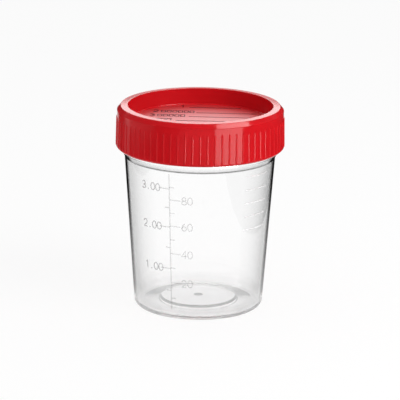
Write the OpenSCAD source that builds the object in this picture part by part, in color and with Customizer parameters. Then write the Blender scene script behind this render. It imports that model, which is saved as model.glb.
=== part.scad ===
// Specimen container: a clear tapered cup with a threaded neck, and a ribbed screw lid
// whose recessed top is also the plug that seals the mouth.
// Millimetres, +Z up. The origin is on the table, under the centre of the cup.
// The front, with the graduation, faces -Y.

/* [Cup] */
// Height of the cup alone, from the table to its rim
cup_h = 73.8; // [60:0.1:110]
// Outer radius that the tapered wall would have at table level
foot_r = 23.5; // [20:0.1:26]
// Outer radius of the wall where it meets the shoulder
wall_top_r = 27.45; // [26.5:0.05:32]
// Thickness of the wall
wall_t = 1.0; // [0.7:0.05:1.6]
// Radius of the outer corner between wall and foot
corner_r = 2.1; // [1:0.1:3]
// Radius of the inner corner between wall and floor
inner_corner_r = 1.0; // [0.4:0.1:2]

/* [Neck] */
// Height of the straight neck, from the shoulder to the rim
neck_h = 15.6; // [12:0.1:20]
// How far the neck stands out from the wall below it
shoulder_w = 1.0; // [0.4:0.1:2]
// Height of the sloping shoulder
shoulder_h = 1.9; // [1:0.1:4]
// Thickness of the neck
neck_t = 1.15; // [0.8:0.05:1.8]
// Rounding of the rim's two edges
rim_round = 0.35; // [0.1:0.05:0.4]

/* [Floor] */
// Thickness of the floor
floor_t = 1.0; // [0.8:0.05:1.6]
// Height of the floor's underside above the table, where it meets the pad
floor_clear = 0.9; // [0.4:0.05:2]
// How far the floor falls from the pad out to the wall
floor_fall = 0.45; // [0.1:0.05:0.8]
// Width of the flat ring that stands on the table
foot_w = 0.9; // [0.6:0.1:3]
// Radius of the raised pad in the middle of the floor
pad_r = 13.7; // [8:0.1:16]
// How far the pad rises above the floor round it
pad_rise = 1.2; // [0.6:0.1:2.5]
// Width of the slope round the pad
pad_slope_w = 0.8; // [0.4:0.1:1.5]
// Radius of the dimple that the moulding gate leaves under the pad
gate_r = 1.7; // [0.8:0.1:3]
// Depth of that dimple
gate_depth = 0.4; // [0.1:0.05:0.6]

/* [Graduation] */
// Angle of the scale's upright line from the front, negative to the left
scale_angle = -23.6; // [-60:0.1:60]
// Width of the raised lines
line_w = 0.4; // [0.2:0.05:0.8]
// How far the raised lines stand out of the wall
line_h = 0.15; // [0.08:0.01:0.3]
// Angle that a long mark spans
long_mark = 8.8; // [4:0.1:15]
// Angle that a short mark spans
short_mark = 4; // [2:0.1:8]
// Largest volume marked, in millilitres
max_ml = 90; // [50:10:90]
// Millilitres between two marks on the right of the line
step_ml = 10; // [5:5:20]
// Fluid ounces between two marks on the left of the line
step_oz = 0.5; // [0.5:0.5:1]
// Gap from the floor to the foot of the upright line
line_foot_gap = 2.1; // [1:0.1:6]
// Gap from the top of the upright line to the shoulder
line_top_gap = 0.8; // [0.4:0.1:4]

/* [Lid] */
// Height of the lid, from its lower edge to its top
lid_h = 15.6; // [12:0.1:15.9]
// Thickness of the ring that lies on the rim
lid_top_t = 1.2; // [0.8:0.1:2]
// Thickness of the skirt between two ribs, at its foot
skirt_t = 1.35; // [1.1:0.05:2]
// How much the skirt narrows from its foot to its top
skirt_draft = 0.28; // [0:0.02:0.5]
// Radial room between neck and skirt, which the threads fill
thread_room = 0.8; // [0.7:0.05:1.6]
// Rounding between the skirt's inside and the ring that lies on the rim
channel_round = 0.8; // [0.3:0.1:0.9]
// Width of the bevel round the lid's lower edge
lower_bevel = 0.65; // [0.3:0.05:0.95]
// Width of the bevel round the lid's top edge
top_bevel_w = 1.35; // [0.5:0.05:2]
// Height of the bevel round the lid's top edge
top_bevel_h = 1.7; // [0.4:0.1:2.2]

/* [Recess in the lid] */
// Depth of the recess, from the lid's top to the writing disc
well_depth = 6.1; // [4:0.1:9]
// Thickness of the recess's wall, which is the sealing plug
plug_t = 0.75; // [0.6:0.05:1.2]
// Thickness of the writing disc
disc_t = 1.0; // [0.7:0.1:1.6]
// Radial clearance between the plug and the inside of the neck
plug_clear = 0.2; // [0.1:0.05:0.4]
// How much the recess narrows from its mouth to the disc
well_draft = 0.3; // [0:0.05:0.6]
// Rounding at the foot of the recess
well_round = 0.6; // [0.2:0.1:1.2]

/* [Ribs] */
// Number of grip ribs round the skirt
rib_count = 72; // [36:2:90]
// How far a rib stands out of the skirt
rib_h = 0.22; // [0.1:0.01:0.4]
// Width of a rib at its root
rib_w = 0.55; // [0.45:0.05:1]
// Width of a rib at its crest
rib_crest_w = 0.2; // [0.1:0.05:0.4]
// Distance from the lid's top to the top of a rib
rib_start = 3.9; // [3:0.1:7]
// Height over which a rib fades out at its top
rib_fade = 0.8; // [0.4:0.1:4]
// Distance from the lower bevel to the foot of a rib
rib_foot = 0.2; // [0.1:0.05:1]

/* [Hidden] */
$fn = 180;

EDGE_ROUND = 0.3;           // rounding of small moulded edges
ARC_STEPS = 6;              // straight steps in a rounded corner
EMBED = 0.3;                // how deep a raised detail is rooted in its wall
SINK = 0.05;                // how deep a rib's faded ends run into the skirt
ML_PER_OZ = 29.5735;        // millilitres in a fluid ounce
MM3_PER_ML = 1000;          // cubic millimetres in a millilitre

// Heights and radii of the cup
shoulder_top_z = cup_h - neck_h;
shoulder_z = shoulder_top_z - shoulder_h;
floor_z = floor_clear + floor_t;
floor_low_z = floor_z - floor_fall;
pad_z = floor_z + pad_rise;
pad_under_z = pad_z - floor_t;
neck_r = wall_top_r + shoulder_w;
mouth_r = neck_r - neck_t;
wall_slope = (wall_top_r - foot_r) / shoulder_z;
foot_outer_r = foot_r - corner_r;
foot_inner_r = foot_outer_r - foot_w;

// Heights and radii of the lid, which seats on the rim and round the neck
lid_top_z = cup_h + lid_top_t;
lid_low_z = lid_top_z - lid_h;
disc_z = lid_top_z - well_depth;
bore_r = neck_r + thread_room;
skirt_r = bore_r + skirt_t;
skirt_high_r = skirt_r - skirt_draft;
skirt_low_z = lid_low_z + lower_bevel;
skirt_high_z = lid_top_z - top_bevel_h;
skirt_lean = atan(skirt_draft / (skirt_high_z - skirt_low_z));
plug_r = mouth_r - plug_clear;
well_r = plug_r - plug_t;

// Outer and inner radius of the tapered wall at a height
function wall_r(z) = foot_r + wall_slope * z;
function inner_r(z) = wall_r(z) - wall_t;

// Height that a volume of liquid fills the cup to: the inside is a cone's frustum,
// less the sloping floor and the pad, which are frustums too
floor_r = inner_r(floor_low_z);
pad_foot_r = pad_r + pad_slope_w;
function frustum(h, r1, r2) = PI / 3 * h * (r1 ^ 2 + r1 * r2 + r2 ^ 2);
floor_volume = frustum(floor_fall, floor_r, pad_foot_r) + frustum(pad_rise, pad_foot_r, pad_r);
function level_z(ml) =
    let (volume = ml * MM3_PER_ML + floor_volume)
    floor_low_z + (pow(floor_r ^ 3 + 3 * wall_slope * volume / PI, 1 / 3) - floor_r) / wall_slope;

// A profile is a list of corners [radius, height, rounding]; rounded() returns its outline
function unit(v) = v / norm(v);
function polar(angle) = [cos(angle), sin(angle)];
function turn(from, to) = (to - from + 540) % 360 - 180;
function corner(a, b, c, r) =
    let (u = unit(a - b), v = unit(c - b), half = acos(u * v) / 2)
    let (centre = b + unit(u + v) * r / sin(half))
    let (p = b + u * r / tan(half) - centre, q = b + v * r / tan(half) - centre)
    let (start = atan2(p.y, p.x), sweep = turn(start, atan2(q.y, q.x)))
    [for (i = [0:ARC_STEPS]) centre + r * polar(start + sweep * i / ARC_STEPS)];
function xy(p) = [p[0], p[1]];
function rounded(path) =
    let (n = len(path))
    [for (i = [0:n - 1])
        let (b = path[i])
        each b[2] > 0 ? corner(xy(path[(i + n - 1) % n]), xy(b), xy(path[(i + 1) % n]), b[2]) : [xy(b)]];

module revolve(path) {
    rotate_extrude()
        polygon(rounded(path));
}

// Section of the cup, from the middle of its underside round the outside to the middle of its floor
cup_profile = [
    [0, pad_under_z + gate_depth, 0],
    [gate_r, pad_under_z, 0],
    [pad_r, pad_under_z, EDGE_ROUND],
    [pad_foot_r, floor_clear, EDGE_ROUND],
    [foot_inner_r, 0, EDGE_ROUND],
    [foot_r, 0, corner_r],
    [wall_top_r, shoulder_z, EDGE_ROUND],
    [neck_r, shoulder_top_z, EDGE_ROUND],
    [neck_r, cup_h, rim_round],
    [mouth_r, cup_h, rim_round],
    [mouth_r, shoulder_top_z, EDGE_ROUND],
    [wall_top_r - wall_t, shoulder_z, EDGE_ROUND],
    [floor_r, floor_low_z, inner_corner_r],
    [pad_foot_r, floor_z, EDGE_ROUND],
    [pad_r, pad_z, EDGE_ROUND],
    [0, pad_z, 0]
];

// A level mark for a volume, to the right of the upright line, or to the left where side is -1
module level_mark(ml, span, side) {
    z = level_z(ml);
    crest_r = wall_r(z) + line_h;
    root_r = wall_r(z) - EMBED;
    angles = [for (i = [0:ARC_STEPS]) scale_angle + side * span * i / ARC_STEPS - 90];
    translate([0, 0, z - line_w / 2])
        linear_extrude(height = line_w)
            polygon([
                for (i = [0:ARC_STEPS]) crest_r * polar(angles[i]),
                for (i = [ARC_STEPS:-1:0]) root_r * polar(angles[i])
            ]);
}

// The scale's upright line, a bar that leans with the wall
module upright_line() {
    low_z = floor_z + line_foot_gap;
    high_z = shoulder_z - line_top_gap;
    rotate([0, 0, scale_angle - 90])
        translate([0, line_w / 2, 0])
            rotate([90, 0, 0])
                linear_extrude(height = line_w)
                    polygon([
                        [wall_r(low_z) - EMBED, low_z],
                        [wall_r(low_z) + line_h, low_z],
                        [wall_r(high_z) + line_h, high_z],
                        [wall_r(high_z) - EMBED, high_z]
                    ]);
}

// The graduation: an upright line, millilitres on its right and fluid ounces on its left
module graduation() {
    upright_line();
    for (ml = [step_ml:step_ml:max_ml])
        level_mark(ml, ml % (2 * step_ml) == 0 ? long_mark : short_mark, 1);
    for (oz = [step_oz:step_oz:max_ml / ML_PER_OZ])
        level_mark(oz * ML_PER_OZ, oz % 1 == 0 ? long_mark : short_mark, -1);
}

module container() {
    color([0.93, 0.95, 0.97, 0.35]) {
        revolve(cup_profile);
        graduation();
    }
}

// Section of the lid, from the middle of the writing disc over the top and skirt to the plug's underside
lid_profile = [
    [0, disc_z, 0],
    [well_r - well_draft, disc_z, well_round],
    [well_r, lid_top_z, EDGE_ROUND],
    [skirt_high_r - top_bevel_w, lid_top_z, EDGE_ROUND],
    [skirt_high_r, skirt_high_z, EDGE_ROUND],
    [skirt_r, skirt_low_z, 0],
    [skirt_r - lower_bevel, lid_low_z, 0],
    [bore_r, lid_low_z, 0],
    [bore_r, cup_h, channel_round],
    [plug_r, cup_h, EDGE_ROUND],
    [plug_r - well_draft, disc_z - disc_t, well_round],
    [0, disc_z - disc_t, 0]
];

// A rib seen from its end: its flanks run from inside the skirt to the line where they would meet
rib_flank = (rib_w - rib_crest_w) / rib_h;
rib_section = [
    [-EMBED, -(rib_w + EMBED * rib_flank) / 2],
    [rib_w / rib_flank, 0],
    [-EMBED, (rib_w + EMBED * rib_flank) / 2]
];

// A rib seen from its side, [out of the skirt, up along it]: a sloping foot, the crest and a longer fade
rib_len = lid_top_z - rib_start - skirt_low_z;
rib_side = [
    [-2 * EMBED, rib_foot - SINK],
    [-SINK, rib_foot - SINK],
    [rib_h, rib_foot + rib_h],
    [rib_h, rib_len - rib_fade],
    [-SINK, rib_len + SINK * rib_fade / rib_h],
    [-2 * EMBED, rib_len + SINK * rib_fade / rib_h]
];

// A rib that leans with the skirt; its section is cut to its side outline
module rib() {
    translate([skirt_r, 0, skirt_low_z])
        rotate([0, -skirt_lean, 0])
            intersection() {
                linear_extrude(height = rib_len + rib_fade)
                    polygon(rib_section);
                rotate([90, 0, 0])
                    linear_extrude(height = 4 * rib_w, center = true)
                        polygon(rib_side);
            }
}

module grip_ribs() {
    for (i = [0:rib_count - 1])
        rotate([0, 0, i * 360 / rib_count])
            rib();
}

module lid() {
    color([0.80, 0.06, 0.09]) {
        revolve(lid_profile);
        grip_ribs();
    }
}

container();
lid();
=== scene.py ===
"""Specimen container: the looks of the clear graduated cup and of the red ribbed screw lid."""
import math

import bpy
from mathutils import Matrix, Vector


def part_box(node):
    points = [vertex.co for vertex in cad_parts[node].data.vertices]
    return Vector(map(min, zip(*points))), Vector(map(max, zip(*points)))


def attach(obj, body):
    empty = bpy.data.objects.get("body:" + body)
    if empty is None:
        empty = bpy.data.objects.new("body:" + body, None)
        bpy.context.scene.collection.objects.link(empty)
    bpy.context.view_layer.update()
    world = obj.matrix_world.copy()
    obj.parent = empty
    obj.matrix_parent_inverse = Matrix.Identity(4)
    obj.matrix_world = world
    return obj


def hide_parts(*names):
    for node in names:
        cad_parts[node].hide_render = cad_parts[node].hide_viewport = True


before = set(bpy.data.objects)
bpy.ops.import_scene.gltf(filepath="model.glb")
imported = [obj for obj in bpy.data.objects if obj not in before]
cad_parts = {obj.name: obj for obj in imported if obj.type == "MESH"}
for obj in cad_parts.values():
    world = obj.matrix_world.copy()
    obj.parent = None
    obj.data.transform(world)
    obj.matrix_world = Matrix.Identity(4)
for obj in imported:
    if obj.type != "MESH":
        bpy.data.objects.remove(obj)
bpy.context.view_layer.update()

MM = 0.001
TAU = 2 * math.pi

# ---------------------------------------------------- sizes, in millimetres, as in the frame

CUP_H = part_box("container")[1][2] / MM
LID_LOW_Z, LID_TOP_Z = (corner[2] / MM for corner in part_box("lid"))

FOOT_R = 23.5
WALL_TOP_R = 27.45
WALL_T = 1.0
CORNER_R = 2.1
INNER_CORNER_R = 1.0
NECK_H = 15.6
SHOULDER_W = 1.0
SHOULDER_H = 1.9
NECK_T = 1.15
RIM_ROUND = 0.35
FLOOR_T = 1.0
FLOOR_CLEAR = 0.9
FLOOR_FALL = 0.45
FOOT_W = 0.9
PAD_R = 13.7
PAD_RISE = 1.2
PAD_SLOPE_W = 0.8
GATE_R = 1.7
GATE_DEPTH = 0.4
GATE_ROUND = 0.15
EDGE_ROUND = 0.3

SHOULDER_TOP_Z = CUP_H - NECK_H
SHOULDER_Z = SHOULDER_TOP_Z - SHOULDER_H
FLOOR_Z = FLOOR_CLEAR + FLOOR_T
FLOOR_LOW_Z = FLOOR_Z - FLOOR_FALL
PAD_Z = FLOOR_Z + PAD_RISE
PAD_UNDER_Z = PAD_Z - FLOOR_T
PAD_FOOT_R = PAD_R + PAD_SLOPE_W
NECK_R = WALL_TOP_R + SHOULDER_W
MOUTH_R = NECK_R - NECK_T
WALL_SLOPE = (WALL_TOP_R - FOOT_R) / SHOULDER_Z
FOOT_INNER_R = FOOT_R - CORNER_R - FOOT_W
FLOOR_R = FOOT_R + WALL_SLOPE * FLOOR_LOW_Z - WALL_T

SKIRT_T = 1.35
SKIRT_DRAFT = 0.28
THREAD_ROOM = 0.8
CHANNEL_ROUND = 0.8
LOWER_BEVEL = 0.65
SKIRT_ROUND = 0.15
LIP_ROUND = 0.12
TOP_BEVEL_W = 1.35
TOP_BEVEL_H = 1.7
WELL_DEPTH = 6.1
PLUG_T = 0.75
DISC_T = 1.0
PLUG_CLEAR = 0.2
WELL_DRAFT = 0.3
WELL_ROUND = 0.6
RING_FALL = 0.15               # the moulded ring sinks this little towards its outer edge

DISC_Z = LID_TOP_Z - WELL_DEPTH
BORE_R = NECK_R + THREAD_ROOM
SKIRT_R = BORE_R + SKIRT_T
SKIRT_HIGH_R = SKIRT_R - SKIRT_DRAFT
SKIRT_LOW_Z = LID_LOW_Z + LOWER_BEVEL
SKIRT_HIGH_Z = LID_TOP_Z - TOP_BEVEL_H
PLUG_R = MOUTH_R - PLUG_CLEAR
WELL_R = PLUG_R - PLUG_T

RIB_COUNT = 72
RIB_H = 0.22
RIB_W = 0.55
RIB_CREST_W = 0.2
RIB_FLANK = (RIB_W - RIB_CREST_W) / RIB_H
RIB_FADE = 0.8
RIB_FOOT_GAP = 0.2
RIB_TOP_GAP = 3.9
RIB_LOW_Z = SKIRT_LOW_Z + RIB_FOOT_GAP
RIB_HIGH_Z = LID_TOP_Z - RIB_TOP_GAP

# Screw thread: one right-handed start on the neck, and one in the lid just below it
THREAD_PITCH = 4.0
THREAD_TURNS = 1.6
THREAD_H = 0.6
THREAD_ROOT_W = 1.7
THREAD_CREST_W = 0.8
THREAD_RUN_OUT = 0.08          # share of a turn over which each end fades
NECK_THREAD_LOW_Z = 64.2
LID_THREAD_DROP = 1.75         # how far the lid's thread lies below the neck's


def wall_r(z):
    """Outer radius of the cup's tapered wall at a height."""
    return FOOT_R + WALL_SLOPE * z


# ---------------------------------------------------- profiles and lathed meshes

ARC_STEPS = 8
SUPPORT = 0.12                 # a ring this close to each rounded corner keeps its shading local
THREAD_STEP = 0.2              # distance between the rings under a thread
CUP_STEP = 4.0
LID_STEP = 6.0
SAME = 0.01                    # radii that differ by less than this are the same surface's
TINY = 1e-6


def corner_arc(a, b, c, radius):
    """Points of the arc that rounds corner b of the path a, b, c."""
    a, b, c = Vector(a), Vector(b), Vector(c)
    u, v = (a - b).normalized(), (c - b).normalized()
    half = u.angle(v) / 2
    centre = b + (u + v).normalized() * radius / math.sin(half)
    reach = radius / math.tan(half)
    start, end = (b + u * reach - centre), (b + v * reach - centre)
    first = math.atan2(start.y, start.x)
    sweep = (math.atan2(end.y, end.x) - first + math.pi) % TAU - math.pi
    turns = [first + sweep * i / ARC_STEPS for i in range(ARC_STEPS + 1)]
    return [centre + radius * Vector((math.cos(turn), math.sin(turn))) for turn in turns]


def rounded(path):
    """Outline of a path of corners (radius, height, rounding)."""
    points = []
    for i, (r, z, rounding) in enumerate(path):
        if rounding > 0:
            points += corner_arc(path[i - 1][:2], (r, z), path[i + 1][:2], rounding)
        else:
            points.append(Vector((r, z)))
    return points


def refined(points, step):
    """The outline with rings beside its corners, and steps no longer than step(point)."""
    out = [points[0]]
    for a, b in zip(points, points[1:]):
        length = (b - a).length
        stops = [0.0, length]
        if length > 4 * SUPPORT:
            stops = [0.0, SUPPORT, length - SUPPORT, length]
        for low, high in zip(stops, stops[1:]):
            middle = a + (b - a) * ((low + high) / 2 / length)
            count = max(1, math.ceil((high - low) / step(middle) - TINY))
            shares = [(low + (high - low) * i / count) / length for i in range(1, count + 1)]
            out += [a + (b - a) * share for share in shares]
    return out


def link_mesh(name, vertices, faces, smooth=True):
    """A new object from vertices in millimetres."""
    mesh = bpy.data.meshes.new(name)
    mesh.from_pydata([tuple(c * MM for c in v) for v in vertices], [], faces)
    mesh.validate()
    mesh.update()
    if smooth:
        mesh.shade_smooth()
    piece = bpy.data.objects.new(name, mesh)
    bpy.context.scene.collection.objects.link(piece)
    return piece


def lathe(name, outline, angles, relief):
    """A closed solid of revolution. relief(angle, r, z) is added to the radius."""
    count = len(angles)
    vertices, rings = [], []
    for p in outline:
        if p.x < TINY:
            rings.append([len(vertices)])
            vertices.append((0, 0, p.y))
            continue
        rings.append(list(range(len(vertices), len(vertices) + count)))
        for a in angles:
            r = p.x + relief(a, p.x, p.y)
            vertices.append((r * math.cos(a), r * math.sin(a), p.y))
    faces = []
    for low, high in zip(rings, rings[1:]):
        for i in range(count):
            j = (i + 1) % count
            if len(low) == 1:
                faces.append((low[0], high[j], high[i]))
            elif len(high) == 1:
                faces.append((low[i], low[j], high[0]))
            else:
                faces.append((low[i], low[j], high[j], high[i]))
    return link_mesh(name, vertices, faces)


def smoothstep(t):
    """0 below 0 and 1 above 1, with a smooth rise between them."""
    t = min(max(t, 0.0), 1.0)
    return t * t * (3 - 2 * t)


def thread_relief(angle, z, low_z):
    """Height of a right-handed thread's ridge at a point; the ridge's middle starts at low_z."""
    turns = angle / TAU % 1.0
    best = 0.0
    for whole in range(math.ceil(THREAD_TURNS) + 1):
        along = turns + whole
        if along > THREAD_TURNS:
            break
        off = abs(z - low_z - along * THREAD_PITCH)
        flank = (THREAD_ROOT_W / 2 - off) / (THREAD_ROOT_W - THREAD_CREST_W) * 2
        run_in = smoothstep(along / THREAD_RUN_OUT)
        run_out = smoothstep((THREAD_TURNS - along) / THREAD_RUN_OUT)
        best = max(best, smoothstep(flank) * (run_in * run_out))
    return THREAD_H * best


# ---------------------------------------------------- camera, as the photograph was taken

PHOTO_PX = 400                 # width and height of the photograph
FOCAL_PX = 2588.8              # focal length, in its pixels
CAMERA_DISTANCE = 950
CAMERA_ELEVATION = math.radians(15.72)
CAMERA_ROLL = math.radians(0.73)
TARGET_Z = 36                  # the point on the axis that the camera faces
TARGET_PX = (199.26, 208.01)   # where that point lies in the photograph
SENSOR_MM = 36
CLIP = (0.01, 20)              # metres


def add_camera():
    """The photograph's camera, rolled a little, and shifted as far as its framing needs."""
    data = bpy.data.cameras.new("camera")
    data.sensor_width = SENSOR_MM
    data.lens = FOCAL_PX / PHOTO_PX * SENSOR_MM
    data.clip_start, data.clip_end = CLIP
    data.shift_x = (PHOTO_PX / 2 - TARGET_PX[0]) / PHOTO_PX
    data.shift_y = (TARGET_PX[1] - PHOTO_PX / 2) / PHOTO_PX
    camera = bpy.data.objects.new("camera", data)
    bpy.context.scene.collection.objects.link(camera)
    forward = Vector((0, math.cos(CAMERA_ELEVATION), -math.sin(CAMERA_ELEVATION)))
    level = Vector((1, 0, 0))
    upright = level.cross(forward)
    right = level * math.cos(CAMERA_ROLL) + upright * math.sin(CAMERA_ROLL)
    up = right.cross(forward)
    place = Vector((0, 0, TARGET_Z)) - forward * CAMERA_DISTANCE
    rotation = Matrix((right, up, -forward)).transposed().to_4x4()
    camera.matrix_world = Matrix.Translation(place * MM) @ rotation
    bpy.context.scene.camera = camera


# ---------------------------------------------------- node helpers


def new_material(name):
    material = bpy.data.materials.new(name)
    material.use_nodes = True
    material.node_tree.nodes.clear()
    return material, material.node_tree


def set_input(tree, node, key, value):
    """Sets an input by name or number, to a number, a colour or another node's output."""
    socket = node.inputs[key]
    if isinstance(value, bpy.types.NodeSocket):
        tree.links.new(value, socket)
    else:
        socket.default_value = value


def add(tree, kind, **inputs):
    """A node with its inputs set by name; an underscore stands for a space."""
    node = tree.nodes.new(kind)
    for key, value in inputs.items():
        set_input(tree, node, key.replace("_", " "), value)
    return node


def operator(tree, kind, operation, *values):
    node = tree.nodes.new(kind)
    node.operation = operation
    for i, value in enumerate(values):
        set_input(tree, node, i, value)
    return node


def math_node(tree, operation, *values):
    return operator(tree, "ShaderNodeMath", operation, *values).outputs[0]


def vector_node(tree, operation, *values):
    return operator(tree, "ShaderNodeVectorMath", operation, *values)


def mapped(tree, value, low, high, first=0.0, last=1.0):
    """The value carried from low..high onto first..last, and held at the ends."""
    ends = {"From_Min": low, "From_Max": high, "To_Min": first, "To_Max": last}
    return add(tree, "ShaderNodeMapRange", Value=value, **ends).outputs[0]


def mapped_mm(tree, value, low, high, first=0.0, last=1.0):
    """As mapped, for a length, with low and high in millimetres."""
    return mapped(tree, value, low * MM, high * MM, first, last)


def grey(value):
    return (value, value, value)


def ramp(tree, factor, stops):
    """A colour ramp with stops (position, colour)."""
    node = tree.nodes.new("ShaderNodeValToRGB")
    elements = node.color_ramp.elements
    while len(elements) < len(stops):
        elements.new(0.5)
    for element, (position, colour) in zip(elements, stops):
        element.position = position
        element.color = (*colour, 1)
    tree.links.new(factor, node.inputs["Fac"])
    return node.outputs["Color"]


def grey_ramp(tree, factor, stops):
    """A ramp with stops (position, brightness)."""
    return ramp(tree, factor, [(position, grey(value)) for position, value in stops])


def clouded(tree, cloud, first, last):
    """The colours from first to last, as a noise goes from its low to its high places."""
    return ramp(tree, cloud, [(0.3, first), (0.7, last)])


def mix_colours(tree, factor, first, second, blend="MIX"):
    mix = tree.nodes.new("ShaderNodeMix")
    mix.data_type = "RGBA"
    mix.blend_type = blend
    set_input(tree, mix, 0, factor)
    for key, colour in ((6, first), (7, second)):
        set_input(tree, mix, key, (*colour, 1) if isinstance(colour, tuple) else colour)
    return mix.outputs[2]


def mix_shaders(tree, factor, first, second):
    mix = tree.nodes.new("ShaderNodeMixShader")
    for key, value in enumerate((factor, first, second)):
        set_input(tree, mix, key, value)
    return mix.outputs[0]


def surface(material, tree, shader):
    """Puts the shader on the material's surface, and gives the material back."""
    output = tree.nodes.new("ShaderNodeOutputMaterial")
    tree.links.new(shader, output.inputs["Surface"])
    return material


def object_coordinates(tree):
    return tree.nodes.new("ShaderNodeTexCoord").outputs["Object"]


def noise(tree, where, scale, detail=2.0):
    return add(tree, "ShaderNodeTexNoise", Vector=where, Scale=scale, Detail=detail).outputs["Fac"]


def bumped(tree, height, strength, depth):
    """A normal that follows a noise's heights, to a depth in millimetres."""
    bump = add(tree, "ShaderNodeBump", Strength=strength, Distance=depth * MM, Height=height)
    return bump.outputs["Normal"]


def ray_kind(tree, *kinds):
    """1 for rays of these kinds, and 0 for all others."""
    path = tree.nodes.new("ShaderNodeLightPath")
    value = 0.0
    for kind in kinds:
        value = math_node(tree, "MAXIMUM", value, path.outputs[f"Is {kind} Ray"])
    return value


def facing_away(tree):
    """How edge-on the surface is seen, for the gloss and the painted shade of clear plastic."""
    return add(tree, "ShaderNodeLayerWeight", Blend=0.5).outputs["Facing"]


def radius_and_height(tree, where):
    """Distance from the axis and height of a point in object coordinates."""
    place = add(tree, "ShaderNodeSeparateXYZ", Vector=where)
    x, y, z = (place.outputs[axis] for axis in "XYZ")
    squares = [math_node(tree, "MULTIPLY", value, value) for value in (x, y)]
    return math_node(tree, "SQRT", math_node(tree, "ADD", *squares)), z


def on_outside(tree, where):
    """1 where a surface looks away from the cup's axis, and 0 where it looks inwards."""
    level = vector_node(tree, "MULTIPLY", where, (1, 1, 0)).outputs["Vector"]
    normal = tree.nodes.new("ShaderNodeTexCoord").outputs["Normal"]
    return mapped_mm(tree, vector_node(tree, "DOT_PRODUCT", level, normal).outputs["Value"], -1, 1)


# ---------------------------------------------------- materials

# Painted shade: how much the clear wall dims, by how edge-on it is seen
WALL_PAINTED_SHADE = [(0.0, 1.0), (0.24, 0.99), (0.36, 0.86), (0.44, 0.74),
             (0.52, 0.58), (0.60, 0.42), (0.68, 0.32), (1.0, 0.25)]
# Painted shade round the shoulder: how much it dims, by the height over the shoulder's foot, in
# shoulder heights
SHOULDER_PAINTED_SHADE = [(-0.15, 1.0), (0.0, 0.24), (0.15, 0.28), (0.35, 0.82), (0.8, 0.95), (1.0, 1.0)]
SHOULDER_TINT_SPAN = (-1, 2)
# Painted reflection of a dark room: how much of its rim goes dark, by how edge-on it is seen
EDGE_SHARE = [(0.70, 0.0), (0.75, 0.5), (0.79, 1.0)]
EDGE_GREY = 0.012
WALL_SHARE_LOW = 0.3           # share of the wall's dimming that is left at the floor
EDGE_SHARE_LOW = 0.45          # share of the dark rim that is left at the floor
FLOOR_TINT = 0.94
PLAIN_TINT = 0.998
GATE_TINT = 0.36
STRAIGHT_SHARE = 0.12          # share of the light that passes the low floor unbent
STRAIGHT_TINT = 0.94
SHADOW_TINT = 0.95             # what one surface lets through to a shadow

# Raised marks: brightness, cover seen flat, cover seen obliquely. The grey of lines and numerals is
# painted shade, the white of the note lines a painted highlight
LINE_SHADE_VEIL = (0.30, 0.12, 0.24)
NUMERAL_SHADE_VEIL = (0.25, 0.10, 0.42)
NOTE_HIGHLIGHT_VEIL = (0.95, 0.3, 0.6)
VEIL_RISE = (0.03, 0.25)       # how edge-on a mark is where its cover starts and stops rising


def clear_tint(tree, facing, outside, radius, height):
    """Colour of the clear plastic, dimmed with painted shade towards its edges and at the shoulder,
    and darkened grey at the gate.
    """
    wall = mapped_mm(tree, height, PAD_Z, 3 * PAD_Z, WALL_SHARE_LOW)
    low = mapped_mm(tree, height, PAD_Z, PAD_Z + 1)
    plain = mix_colours(tree, low, grey(FLOOR_TINT), grey(PLAIN_TINT))
    # Painted shade: the wall dims where it is seen edge-on
    tint = grey_ramp(tree, facing, WALL_PAINTED_SHADE)
    tint = mix_colours(tree, math_node(tree, "MULTIPLY", wall, outside), plain, tint)
    # Painted shade round the shoulder, standing in for the grey of the lid's underside
    first, last = SHOULDER_TINT_SPAN
    share = mapped_mm(tree, height, SHOULDER_Z + first * SHOULDER_H, SHOULDER_Z + last * SHOULDER_H)
    stops = [((at - first) / (last - first), value) for at, value in SHOULDER_PAINTED_SHADE]
    band = grey_ramp(tree, share, stops)
    band = mix_colours(tree, outside, grey(1.0), band)
    tint = mix_colours(tree, 1.0, tint, band, "MULTIPLY")
    # The gate's mark is tinted grey, by its radius and height
    near = mapped_mm(tree, radius, 0.8 * GATE_R, 1.1 * GATE_R, 1.0, 0.0)
    low = mapped_mm(tree, height, PAD_Z, PAD_Z + 1, 1.0, 0.0)
    return mix_colours(tree, math_node(tree, "MULTIPLY", near, low), tint, grey(GATE_TINT))


def dark_rim(tree, facing, outside, height):
    """Share of the clear wall that is painted dark at its rim, a painted reflection of a dark
    room's sides.
    """
    edge = grey_ramp(tree, facing, EDGE_SHARE)
    rising = mapped_mm(tree, height, PAD_Z, 0.8 * SHOULDER_Z, EDGE_SHARE_LOW)
    rising = math_node(tree, "MULTIPLY", rising, mapped_mm(tree, height, PAD_Z + 0.3, 2 * PAD_Z))
    return math_node(tree, "MULTIPLY", math_node(tree, "MULTIPLY", edge, outside), rising)


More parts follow.
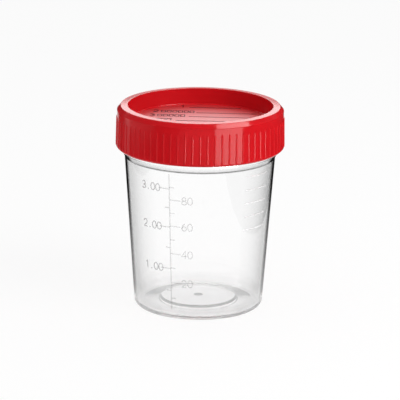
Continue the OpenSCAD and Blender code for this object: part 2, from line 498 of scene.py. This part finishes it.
def clear_plastic():
    """Clear moulded polystyrene, with a painted dark rim and painted shade where it is seen
    edge-on; shadows pass straight through it.
    """
    material, tree = new_material("clear_plastic")
    where = object_coordinates(tree)
    radius, height = radius_and_height(tree, where)
    facing = facing_away(tree)
    # Only the outside is painted dark; the inside would double its edge
    outside = on_outside(tree, where)
    tint = clear_tint(tree, facing, outside, radius, height)
    normal = bumped(tree, noise(tree, where, 90.0), 0.04, 0.2)
    glass = add(tree, "ShaderNodeBsdfPrincipled", Base_Color=tint, Normal=normal, Roughness=0.02,
                Transmission_Weight=1.0, IOR=1.5, Specular_IOR_Level=0.7)
    # Painted dark rim: a near-black matt mixed in where the wall is seen edge-on
    dark = add(tree, "ShaderNodeBsdfDiffuse", Color=(*grey(EDGE_GREY), 1))
    rim = dark_rim(tree, facing, outside, height)
    edged = mix_shaders(tree, rim, glass.outputs[0], dark.outputs[0])
    # In the low floor, part of the light goes straight on, so that its edges stay pale
    straight = add(tree, "ShaderNodeBsdfTransparent", Color=(*grey(STRAIGHT_TINT), 1))
    share = mapped_mm(tree, height, PAD_Z + 0.5, 2 * PAD_Z, STRAIGHT_SHARE, 0.0)
    edged = mix_shaders(tree, share, edged, straight.outputs[0])
    passing = add(tree, "ShaderNodeBsdfTransparent", Color=(*grey(SHADOW_TINT), 1))
    unseen = ray_kind(tree, "Shadow", "Diffuse")
    return surface(material, tree, mix_shaders(tree, unseen, edged, passing.outputs[0]))


def raised_marks(name, brightness, flat_cover, oblique_cover):
    """Raised lines of the clear wall, coloured with painted shade when dark and painted highlight
    when bright: they veil what lies behind, and more so seen obliquely.
    """
    material, tree = new_material(name)
    tone = clouded(tree, noise(tree, object_coordinates(tree), 1500.0),
                   grey(0.85 * brightness), grey(1.15 * brightness))
    veil = add(tree, "ShaderNodeBsdfPrincipled", Base_Color=tone, Roughness=0.4)
    passing = add(tree, "ShaderNodeBsdfTransparent", Color=(1, 1, 1, 1))
    cover = mapped(tree, facing_away(tree), *VEIL_RISE, flat_cover, oblique_cover)
    return surface(material, tree, mix_shaders(tree, cover, passing.outputs[0], veil.outputs[0]))


def red_plastic():
    """Glossy red moulded polyethylene with a faint orange peel; the rib crests are painted a paler
    red, a painted highlight, and are rougher.
    """
    material, tree = new_material("red_plastic")
    where = object_coordinates(tree)
    cloud = noise(tree, where, 60.0, 3.0)
    radius, height = radius_and_height(tree, where)
    lean = SKIRT_DRAFT / (SKIRT_HIGH_Z - SKIRT_LOW_Z)
    skirt = math_node(tree, "MULTIPLY_ADD", height, -lean, (SKIRT_R + lean * SKIRT_LOW_Z) * MM)
    crest = mapped_mm(tree, math_node(tree, "SUBTRACT", radius, skirt), 0.3 * RIB_H, 0.9 * RIB_H)
    colour = clouded(tree, cloud, (0.555, 0.007, 0.011), (0.595, 0.008, 0.013))
    # Painted highlight: the rib crests are a paler red
    colour = mix_colours(tree, crest, colour, (0.62, 0.010, 0.014))
    roughness = clouded(tree, cloud, grey(0.10), grey(0.15))
    roughness = mix_colours(tree, crest, roughness, grey(0.30))
    normal = bumped(tree, noise(tree, where, 700.0), 0.04, 0.2)
    shader = add(tree, "ShaderNodeBsdfPrincipled", Base_Color=colour, Roughness=roughness,
                 Normal=normal, IOR=1.5, Specular_IOR_Level=0.10)
    return surface(material, tree, shader.outputs[0])


def frosted_red():
    """The writing disc's red, with the fine matt grain that takes a pen."""
    material, tree = new_material("frosted_red")
    grain = noise(tree, object_coordinates(tree), 2500.0, 3.0)
    colour = clouded(tree, grain, (0.50, 0.006, 0.010), (0.58, 0.010, 0.014))
    roughness = clouded(tree, grain, grey(0.42), grey(0.50))
    normal = bumped(tree, grain, 0.05, 0.1)
    shader = add(tree, "ShaderNodeBsdfPrincipled", Base_Color=colour, Roughness=roughness,
                 Normal=normal, IOR=1.5, Specular_IOR_Level=0.75)
    return surface(material, tree, shader.outputs[0])


def line_ink():
    """Dark maroon of the raised lines on the writing disc."""
    material, tree = new_material("line_ink")
    grain = noise(tree, object_coordinates(tree), 1800.0)
    colour = clouded(tree, grain, (0.035, 0.004, 0.006), (0.06, 0.008, 0.012))
    shader = add(tree, "ShaderNodeBsdfPrincipled", Base_Color=colour, Roughness=0.7,
                 Specular_IOR_Level=0.1)
    return surface(material, tree, shader.outputs[0])


# ---------------------------------------------------- the cup

CUP_SEGMENTS = 288


def cup_outline():
    """Section of the cup, from under its middle round the outside to the middle of its floor."""
    path = [
        (0, PAD_UNDER_Z + GATE_DEPTH, 0),
        (GATE_R, PAD_UNDER_Z, GATE_ROUND),
        (PAD_R, PAD_UNDER_Z, EDGE_ROUND),
        (PAD_FOOT_R, FLOOR_CLEAR, EDGE_ROUND),
        (FOOT_INNER_R, 0, EDGE_ROUND),
        (FOOT_R, 0, CORNER_R),
        (WALL_TOP_R, SHOULDER_Z, EDGE_ROUND),
        (NECK_R, SHOULDER_TOP_Z, EDGE_ROUND),
        (NECK_R, CUP_H, RIM_ROUND),
        (MOUTH_R, CUP_H, RIM_ROUND),
        (MOUTH_R, SHOULDER_TOP_Z, EDGE_ROUND),
        (WALL_TOP_R - WALL_T, SHOULDER_Z, EDGE_ROUND),
        (FLOOR_R, FLOOR_LOW_Z, INNER_CORNER_R),
        (PAD_FOOT_R, FLOOR_Z, EDGE_ROUND),
        (PAD_R, PAD_Z, EDGE_ROUND),
        (0, PAD_Z, 0),
    ]
    thread_top = NECK_THREAD_LOW_Z + THREAD_TURNS * THREAD_PITCH + THREAD_ROOT_W

    def step(p):
        on_neck = p.x > NECK_R - SAME
        on_thread = on_neck and NECK_THREAD_LOW_Z - THREAD_ROOT_W < p.y < thread_top
        return THREAD_STEP if on_thread else CUP_STEP

    return refined(rounded(path), step)


def neck_relief(angle, r, z):
    """The thread out of the neck."""
    return thread_relief(angle, z, NECK_THREAD_LOW_Z) if r > NECK_R - SAME else 0.0


def build_cup(material):
    """The clear cup with its screw thread."""
    angles = [TAU * i / CUP_SEGMENTS for i in range(CUP_SEGMENTS)]
    cup = lathe("clear_cup", cup_outline(), angles, neck_relief)
    cup.data.materials.append(material)
    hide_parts("container")
    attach(cup, "cup")


# ---------------------------------------------------- graduation

SCALE_AZIMUTH = math.radians(-23.6)     # the upright line, from the front, negative to the left
LINE_W = 0.4
LINE_H = 0.15
LONG_MARK = math.radians(8.8)
SHORT_MARK = math.radians(4)
MAX_ML = 90
STEP_ML = 10
STEP_OZ = 0.5
LINE_FOOT_GAP = 2.1
LINE_TOP_GAP = 0.8
ML_PER_OZ = 29.5735
MM3_PER_ML = 1000

DIGIT_H = 2.7                           # height of a numeral
DIGIT_W = 1.75                          # width of a numeral
DIGIT_PITCH = 2.15                      # distance between the middles of two numerals
DIGIT_STROKE = 0.36                     # width of a numeral's strokes
ML_LABEL_AZIMUTH = math.radians(-9.5)   # middles of the numerals
OZ_LABEL_AZIMUTH = math.radians(-40.5)
RIBBON_ROOT = 0.05                      # how deep a raised line is rooted
RIBBON_CREST = 0.6                      # share of a raised line's width at its top
MITRE_LIMIT = 0.5
LINE_STEPS = 12


def frustum(height, r1, r2):
    """Volume of a cone's frustum."""
    return math.pi / 3 * height * (r1 ** 2 + r1 * r2 + r2 ** 2)


def level_z(ml):
    """Height that a volume fills the cup to: a cone's frustum less the sloping floor and pad."""
    floor = frustum(FLOOR_FALL, FLOOR_R, PAD_FOOT_R) + frustum(PAD_RISE, PAD_FOOT_R, PAD_R)
    volume = ml * MM3_PER_ML + floor
    level_r = (FLOOR_R ** 3 + 3 * WALL_SLOPE * volume / math.pi) ** (1 / 3)
    return FLOOR_LOW_Z + (level_r - FLOOR_R) / WALL_SLOPE


def on_wall(azimuth, height):
    """A map from a label's own plane (u right, v up, lift) to the cup's wall round a point."""
    def place(u, v, lift):
        z = height + v
        r = wall_r(z) + lift
        a = azimuth + u / wall_r(height)
        return (r * math.sin(a), -r * math.cos(a), z)

    return place


def ribbon(path, width, height, place, closed=False):
    """Vertices and faces of a raised line along a path of (u, v) points."""
    points = [Vector(p) for p in path]
    count = len(points)
    vertices = []
    for i, p in enumerate(points):
        before = points[i - 1] if closed or i else None
        after = points[(i + 1) % count] if closed or i < count - 1 else None
        first = (p - before).normalized() if before else (after - p).normalized()
        second = (after - p).normalized() if after else first
        tangent = (first + second).normalized()
        mitre = max(tangent.dot(first), MITRE_LIMIT)
        across = Vector((-tangent.y, tangent.x)) * (width / 2) / mitre
        root, crest = (1, -RIBBON_ROOT), (RIBBON_CREST, height)
        for sign, (side, lift) in ((-1, root), (-1, crest), (1, crest), (1, root)):
            vertices.append(place(p.x + across.x * sign * side, p.y + across.y * sign * side, lift))
    faces = []
    for i in range(count if closed else count - 1):
        a, b = 4 * i, 4 * ((i + 1) % count)
        faces += [(a + k, a + (k + 1) % 4, b + (k + 1) % 4, b + k) for k in range(4)]
    if not closed:
        last = 4 * (count - 1)
        faces += [(3, 2, 1, 0), (last, last + 1, last + 2, last + 3)]
    return vertices, faces


def oval(cx, cy, rx, ry, start=0, end=360, steps=20):
    """Points of an oval's arc, its angles in degrees."""
    turns = [math.radians(start + (end - start) * i / steps) for i in range(steps + 1)]
    return [(cx + rx * math.cos(t), cy + ry * math.sin(t)) for t in turns]


# The strokes of each numeral in a box one wide and one high; a stroke that ends where it
# starts is closed
NUMERALS = {
    "0": [oval(0.5, 0.5, 0.5, 0.5)],
    "1": [[(0.2, 0.78), (0.55, 1.0), (0.55, 0.0)]],
    "2": [oval(0.48, 0.72, 0.44, 0.28, 165, -40, 12) + [(0.04, 0.0), (0.96, 0.0)]],
    "3": [oval(0.45, 0.75, 0.42, 0.25, 150, -90, 12) + oval(0.45, 0.25, 0.5, 0.25, 90, -150, 12)],
    "4": [[(0.72, 0.0), (0.72, 1.0), (0.0, 0.3), (1.0, 0.3)]],
    "5": [[(0.9, 1.0), (0.15, 1.0), (0.1, 0.58)] + oval(0.42, 0.33, 0.5, 0.33, 110, -145, 12)],
    "6": [oval(0.5, 0.3, 0.46, 0.3), [(0.04, 0.32), (0.2, 0.75), (0.68, 1.0)]],
    "8": [oval(0.5, 0.26, 0.5, 0.26), oval(0.5, 0.76, 0.4, 0.24)],
    ".": [[(0.5, 0.0), (0.5, 0.14)]],
}


def text_ribbons(text, place, height=DIGIT_H, width=DIGIT_W, pitch=DIGIT_PITCH,
                 stroke=DIGIT_STROKE, lift=LINE_H):
    """Raised numerals in a row, centred on the place's origin."""
    parts = []
    left = -pitch * (len(text) - 1) / 2
    for i, character in enumerate(text):
        for path in NUMERALS[character]:
            closed = (Vector(path[0]) - Vector(path[-1])).length < TINY
            scaled = [(left + pitch * i + (x - 0.5) * width, (y - 0.5) * height) for x, y in path]
            parts.append(ribbon(scaled[:-1] if closed else scaled, stroke, lift, place, closed))
    return parts


def level_ribbon(z, start, end):
    """A level line on the wall between two angles from the front."""
    reach = (end - start) * wall_r(z)
    path = [(reach * i / LINE_STEPS, 0) for i in range(LINE_STEPS + 1)]
    return ribbon(path, LINE_W, LINE_H, on_wall(start, z))


def joined(name, parts, material):
    """One object from several parts' vertices and faces."""
    vertices, faces = [], []
    for part_vertices, part_faces in parts:
        faces += [tuple(len(vertices) + i for i in face) for face in part_faces]
        vertices += part_vertices
    piece = link_mesh(name, vertices, faces, smooth=False)
    piece.data.materials.append(material)
    return piece


def build_graduation(lines, numerals):
    """The upright line, marks at their liquid levels, and plain numerals beside the long ones."""
    low_z, high_z = FLOOR_Z + LINE_FOOT_GAP, SHOULDER_Z - LINE_TOP_GAP
    path = [(0, (high_z - low_z) * i / LINE_STEPS) for i in range(LINE_STEPS + 1)]
    parts = [ribbon(path, LINE_W, LINE_H, on_wall(SCALE_AZIMUTH, low_z))]
    for i in range(1, MAX_ML // STEP_ML + 1):
        span = LONG_MARK if i % 2 == 0 else SHORT_MARK
        z = level_z(i * STEP_ML)
        parts.append(level_ribbon(z, SCALE_AZIMUTH, SCALE_AZIMUTH + span))
    for i in range(1, int(MAX_ML / ML_PER_OZ / STEP_OZ) + 1):
        span = LONG_MARK if i % 2 == 0 else SHORT_MARK
        z = level_z(i * STEP_OZ * ML_PER_OZ)
        parts.append(level_ribbon(z, SCALE_AZIMUTH - span, SCALE_AZIMUTH))
    scale = joined("graduation", parts, lines)

    parts = []
    for i in range(2, MAX_ML // STEP_ML + 1, 2):
        parts += text_ribbons(str(i * STEP_ML), on_wall(ML_LABEL_AZIMUTH, level_z(i * STEP_ML)))
    for i in range(1, int(MAX_ML / ML_PER_OZ) + 1):
        parts += text_ribbons(f"{i}.00", on_wall(OZ_LABEL_AZIMUTH, level_z(i * ML_PER_OZ)))
    labels = joined("scale_numerals", parts, numerals)
    for piece in (scale, labels):
        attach(piece, "cup")


# Plain raised lines to write on, on the right of the cup
NOTE_ROWS = 5
NOTE_TOP_Z = 53.5
NOTE_PITCH = 5.0
NOTE_START = math.radians(38)
NOTE_END = math.radians(62)


def build_note_lines(material):
    """The plain writing lines on the right of the cup."""
    heights = [NOTE_TOP_Z - NOTE_PITCH * i for i in range(NOTE_ROWS)]
    parts = [level_ribbon(z, NOTE_START, NOTE_END) for z in heights]
    piece = joined("note_lines", parts, material)
    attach(piece, "cup")


# ---------------------------------------------------- the lid


def skirt_at(z):
    """Radius of the skirt between its ribs at a height."""
    return SKIRT_R - SKIRT_DRAFT * (z - SKIRT_LOW_Z) / (SKIRT_HIGH_Z - SKIRT_LOW_Z)


def lid_outline():
    """Section of the lid, from its disc's middle over the top and skirt to the plug's underside."""
    rib_heights = (RIB_HIGH_Z, RIB_HIGH_Z - RIB_FADE, RIB_LOW_Z + RIB_H, RIB_LOW_Z)
    path = [
        (0, DISC_Z, 0),
        (WELL_R - WELL_DRAFT, DISC_Z, WELL_ROUND),
        (WELL_R, LID_TOP_Z, EDGE_ROUND),
        (SKIRT_HIGH_R - TOP_BEVEL_W, LID_TOP_Z - RING_FALL, EDGE_ROUND),
        (SKIRT_HIGH_R, SKIRT_HIGH_Z, EDGE_ROUND),
        *[(skirt_at(z), z, 0) for z in rib_heights],
        (SKIRT_R, SKIRT_LOW_Z, SKIRT_ROUND),
        (SKIRT_R - LOWER_BEVEL, LID_LOW_Z, LIP_ROUND),
        (BORE_R, LID_LOW_Z, LIP_ROUND),
        (BORE_R, CUP_H, CHANNEL_ROUND),
        (PLUG_R, CUP_H, EDGE_ROUND),
        (PLUG_R - WELL_DRAFT, DISC_Z - DISC_T, WELL_ROUND),
        (0, DISC_Z - DISC_T, 0),
    ]
    low = NECK_THREAD_LOW_Z - LID_THREAD_DROP
    high = low + THREAD_TURNS * THREAD_PITCH

    def step(p):
        in_bore = abs(p.x - BORE_R) < SAME
        on_thread = in_bore and low - THREAD_ROOT_W < p.y < high + THREAD_ROOT_W
        return THREAD_STEP if on_thread else LID_STEP

    return refined(rounded(path), step)[::-1]


def rib_angles():
    """Angles round the lid: close together on each rib, few between them."""
    side = [RIB_CREST_W / 2, RIB_W / 2, RIB_W / 2 + SUPPORT]
    offsets = [-s for s in side[::-1]] + side + [math.pi * SKIRT_R / RIB_COUNT]
    return [TAU * i / RIB_COUNT + off / SKIRT_R for i in range(RIB_COUNT) for off in offsets]


def lid_relief(angle, r, z):
    """Ribs out of the skirt, and the thread into the bore."""
    if abs(r - BORE_R) < SAME:
        return -thread_relief(angle, z, NECK_THREAD_LOW_Z - LID_THREAD_DROP)
    if abs(r - skirt_at(z)) > SAME:
        return 0.0
    pitch = TAU / RIB_COUNT
    off = abs((angle + pitch / 2) % pitch - pitch / 2) * SKIRT_R
    flank = (RIB_W - 2 * off) / RIB_FLANK
    foot, fade = z - RIB_LOW_Z, (RIB_HIGH_Z - z) * RIB_H / RIB_FADE
    return max(0.0, min(RIB_H, flank, foot, fade))


def on_writing_disc(face):
    """Whether a face of the lid lies on the flat of the writing disc."""
    edge = (WELL_R - WELL_DRAFT - WELL_ROUND) * MM
    level = face.normal.z > 0.9 and abs(face.center.z - DISC_Z * MM) < 0.1 * MM
    return level and face.center.xy.length < edge


def build_lid(plastic, disc):
    """The lid with its screw thread; its writing disc has a material of its own."""
    lid = lathe("red_lid", lid_outline(), rib_angles(), lid_relief)
    lid.data.materials.append(plastic)
    lid.data.materials.append(disc)
    for face in lid.data.polygons:
        if on_writing_disc(face):
            face.material_index = 1
    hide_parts("lid")
    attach(lid, "lid")


# Rows to write on, on the disc: each has a small numeral, a comb of boxes and a line. Given here
# are each line's height, start and end, and the middle of its numeral
ROWS = [
    (20.5, -5, 14, -7.5),
    (12.3, -2, 20, -17),
    (6.1, -4.5, 20, -18),
    (-0.1, -9, 22, -18.5),
    (-6.3, -9, 20, -18),
    (-12.5, -7, 17, -14),
]
PANEL_TURN = math.radians(-2.5)
ROW_STROKE = 0.45
ROW_LIFT = 0.08
ROW_NUMERAL_H = 3.2
ROW_NUMERAL_W = 1.8
BOX_START = 2.0                         # from the middle of the numeral to the first box
BOX_PITCH = 2.1
BOX_W = 1.5
BOX_H = 2.6
BOX_STROKE = 0.4
BOX_GAP = 0.5                           # left free before the line


def on_disc(u, v, lift):
    """A map from the writing disc's plane, turned as its panel is, to the frame."""
    c, s = math.cos(PANEL_TURN), math.sin(PANEL_TURN)
    return (u * c - v * s, u * s + v * c, DISC_Z + lift)


def build_row_lines(material):
    """The writing lines of the disc, each with its numeral and boxes."""
    parts = []
    for number, (y, start, end, numeral_x) in enumerate(ROWS, 1):
        parts.append(ribbon([(start, y), (end, y)], ROW_STROKE, ROW_LIFT, on_disc))

        def place(u, v, lift, x=numeral_x, y=y):
            return on_disc(x + u, y + v + ROW_NUMERAL_H / 2, lift)

        parts += text_ribbons(str(number), place, ROW_NUMERAL_H, ROW_NUMERAL_W,
                              stroke=ROW_STROKE, lift=ROW_LIFT)
        left = numeral_x + BOX_START
        while left + BOX_W < start - BOX_GAP:
            corners = [(left, y), (left + BOX_W, y), (left + BOX_W, y + BOX_H), (left, y + BOX_H)]
            parts.append(ribbon(corners, BOX_STROKE, ROW_LIFT, on_disc, closed=True))
            left += BOX_PITCH
    piece = joined("row_lines", parts, material)
    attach(piece, "lid")


# ---------------------------------------------------- studio

FLOOR_DROP = 0.1                        # the table lies this far under the foot, clear of its faces
FLOOR_SIZE = 6                          # metres
FLOOR_ALBEDO = 0.97
FLOOR_WHITE = 0.85                      # share of plain white; the lit rest keeps the shadow
AMBIENT = 0.68                          # soft light from all round
CEILING_GLOW = 0.35                     # what gloss sees above the backdrop
CEILING_RISE = (0.15, 0.45)             # from the backdrop's end to the ceiling; 1 is straight up


def add_floor():
    """A pale table, mostly plain white to the rays that see it."""
    bpy.ops.mesh.primitive_plane_add(size=FLOOR_SIZE, location=(0, 0, -FLOOR_DROP * MM))
    floor = bpy.context.object
    floor.name = "floor"
    material, tree = new_material("floor")
    paper = add(tree, "ShaderNodeBsdfDiffuse", Color=(*grey(FLOOR_ALBEDO), 1))
    white = add(tree, "ShaderNodeEmission", Color=(1, 1, 1, 1), Strength=1.0)
    seen = ray_kind(tree, "Camera", "Glossy", "Transmission")
    share = math_node(tree, "MULTIPLY", seen, FLOOR_WHITE)
    surface(material, tree, mix_shaders(tree, share, paper.outputs[0], white.outputs[0]))
    floor.data.materials.append(material)


def add_world():
    """Soft light from all round, a white backdrop, and for gloss a darker ceiling above it."""
    world = bpy.data.worlds.new("studio")
    bpy.context.scene.world = world
    world.use_nodes = True
    tree = world.node_tree
    tree.nodes.clear()
    direction = tree.nodes.new("ShaderNodeTexCoord").outputs["Generated"]
    up = add(tree, "ShaderNodeSeparateXYZ", Vector=direction).outputs["Z"]
    glow = grey_ramp(tree, up, list(zip(CEILING_RISE, (1.0, CEILING_GLOW))))
    shown = mix_colours(tree, ray_kind(tree, "Camera", "Transmission"), glow, grey(1.0))
    ambient = add(tree, "ShaderNodeBackground", Color=(1, 1, 1, 1), Strength=AMBIENT)
    backdrop = add(tree, "ShaderNodeBackground", Color=shown, Strength=1.0)
    output = tree.nodes.new("ShaderNodeOutputWorld")
    seen = ray_kind(tree, "Camera", "Glossy", "Transmission")
    shader = mix_shaders(tree, seen, ambient.outputs[0], backdrop.outputs[0])
    tree.links.new(shader, output.inputs["Surface"])


# The lamps: azimuth (0 behind the camera, positive to the right) and elevation in degrees, distance
# and size in millimetres, radiance, the height on the axis that they face, and whether they light
# matt surfaces. Those that don't are there for the highlights on gloss and glass alone
LAMPS = {
    "key": (55, 38, 700, (400, 400), 5.0, 40, True),
    "right_gloss": (37, -10, 165, (108, 34), 12, 67, False),
    "high_gloss": (66, 53, 300, (170, 130), 22, 74, False),
    "left_gloss": (-112, -8, 200, (40, 60), 0.8, 67, False),
    "left_haze": (-95, -10, 320, (420, 220), 1.0, 67, False),
    "back_gloss": (180, 35, 800, (1100, 640), 3.3, 70, False),
}


def add_lamp(name, azimuth, elevation, distance, size, radiance, aim_z, lights):
    """A soft rectangular lamp that lights either matt surfaces or gloss alone."""
    a, e = math.radians(azimuth), math.radians(elevation)
    aim = Vector((0, 0, aim_z))
    away = Vector((math.sin(a) * math.cos(e), -math.cos(a) * math.cos(e), math.sin(e)))
    place = aim + distance * away
    data = bpy.data.lights.new(name, "AREA")
    data.shape = "RECTANGLE"
    data.size, data.size_y = (s * MM for s in size)
    data.energy = radiance * math.pi * data.size * data.size_y
    lamp = bpy.data.objects.new(name, data)
    bpy.context.scene.collection.objects.link(lamp)
    turn = (aim - place).to_track_quat("-Z", "Y").to_matrix().to_4x4()
    lamp.matrix_world = Matrix.Translation(place * MM) @ turn
    lamp.visible_camera = False
    lamp.visible_transmission = False
    lamp.visible_glossy = not lights
    lamp.visible_diffuse = lights


FLAG_NEAR_X = {"flag_left": -160, "flag_right": 95}     # the strips' near edges
FLAG_W = 1200
FLAG_Y = (-900, 2700)
FLAG_Z = 1
FLAG_GREY = 0.04
CARD_X = 500                            # an upright card on each strip, this far from the axis
CARD_H = 330


def add_flags():
    """Dark strips beside the white paper, seen in gloss only, like a photo table's edges."""
    material, tree = new_material("flag")
    dark = add(tree, "ShaderNodeEmission", Color=(*grey(FLAG_GREY), 1), Strength=1.0)
    surface(material, tree, dark.outputs[0])
    for name, near in FLAG_NEAR_X.items():
        far, card = near + math.copysign(FLAG_W, near), math.copysign(CARD_X, near)
        first, last = FLAG_Y
        corners = [(near, first), (far, first), (far, last), (near, last)]
        strip = [(x, y, FLAG_Z) for x, y in corners]
        upright = [(card, first, FLAG_Z), (card, last, FLAG_Z)]
        upright += [(card, last, CARD_H), (card, first, CARD_H)]
        flag = link_mesh(name, strip + upright, [(0, 1, 2, 3), (4, 5, 6, 7)], smooth=False)
        flag.data.materials.append(material)
        flag.visible_camera = False
        flag.visible_diffuse = False
        flag.visible_transmission = False
        flag.visible_shadow = False


def main():
    add_camera()
    bpy.context.scene.view_settings.view_transform = "Standard"
    build_cup(clear_plastic())
    lines = raised_marks("raised_lines", *LINE_SHADE_VEIL)
    build_graduation(lines, raised_marks("raised_numerals", *NUMERAL_SHADE_VEIL))
    build_note_lines(raised_marks("raised_notes", *NOTE_HIGHLIGHT_VEIL))
    build_lid(red_plastic(), frosted_red())
    build_row_lines(line_ink())
    add_floor()
    add_flags()
    add_world()
    for name, settings in LAMPS.items():
        add_lamp(name, *settings)


main()
